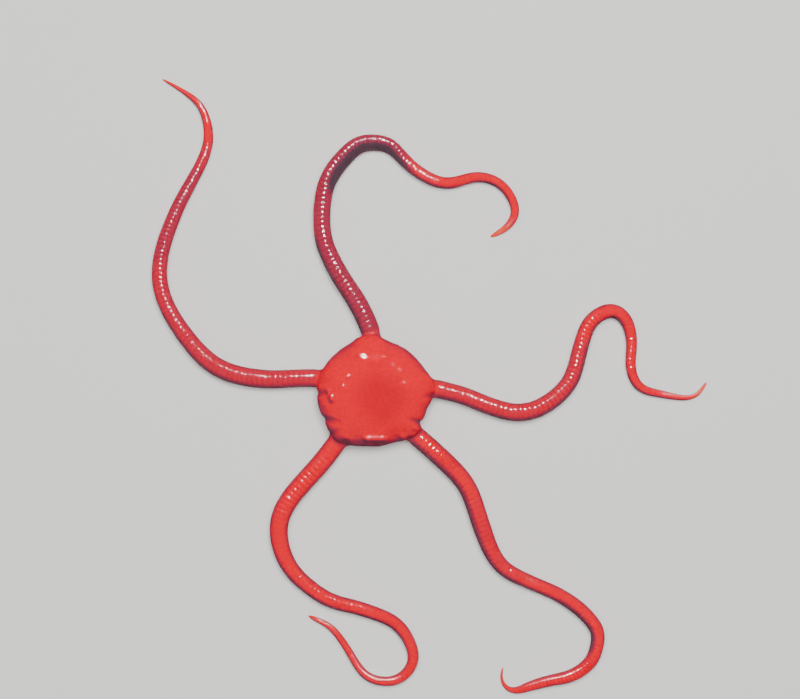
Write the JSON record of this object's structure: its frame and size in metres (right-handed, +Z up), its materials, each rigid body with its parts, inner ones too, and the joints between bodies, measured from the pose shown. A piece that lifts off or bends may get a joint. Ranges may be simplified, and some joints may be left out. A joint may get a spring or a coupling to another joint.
{
  "type": "brittle star",
  "caption": "Smooth-skinned red brittle star at rest: a soft round disc, a mouth with jaws beneath, and winding arms in lengths.",
  "frame": {"origin": "on the floor, under the middle of the outline seen from above", "axes": "+Z up; seen from above +X is to the picture's right and +Y to the picture's top, along the star's longest extent"},
  "size_m": [0.1002, 0.1112, 0.0065],
  "materials": {
    "disc_skin": "thick wet skin, scarlet above",
    "arm_skin": "thick wet skin, scarlet above and mauve at the sides",
    "oral_skin": "wet skin, greyish pink"
  },
  "bodies": {
    "root": {"arm_a_1": "arm_skin", "arm_a_2": "arm_skin", "arm_a_3": "arm_skin", "arm_a_4": "arm_skin", "arm_a_5": "arm_skin", "arm_b_1": "arm_skin", "arm_b_2": "arm_skin", "arm_b_3": "arm_skin", "arm_b_4": "arm_skin", "arm_b_5": "arm_skin", "arm_b_6": "arm_skin", "arm_c_1": "arm_skin", "arm_c_2": "arm_skin", "arm_c_3": "arm_skin", "arm_c_4": "arm_skin", "arm_c_5": "arm_skin", "arm_c_6": "arm_skin", "arm_d_1": "arm_skin", "arm_d_2": "arm_skin", "arm_d_3": "arm_skin", "arm_d_4": "arm_skin", "arm_d_5": "arm_skin", "arm_d_6": "arm_skin", "arm_e_1": "arm_skin", "arm_e_2": "arm_skin", "arm_e_3": "arm_skin", "arm_e_4": "arm_skin", "arm_e_5": "arm_skin", "arm_e_6": "arm_skin", "disc": "disc_skin", "jaw_1": "oral_skin", "jaw_2": "oral_skin", "jaw_3": "oral_skin", "jaw_4": "oral_skin", "jaw_5": "oral_skin"}
  },
  "joints": []
}
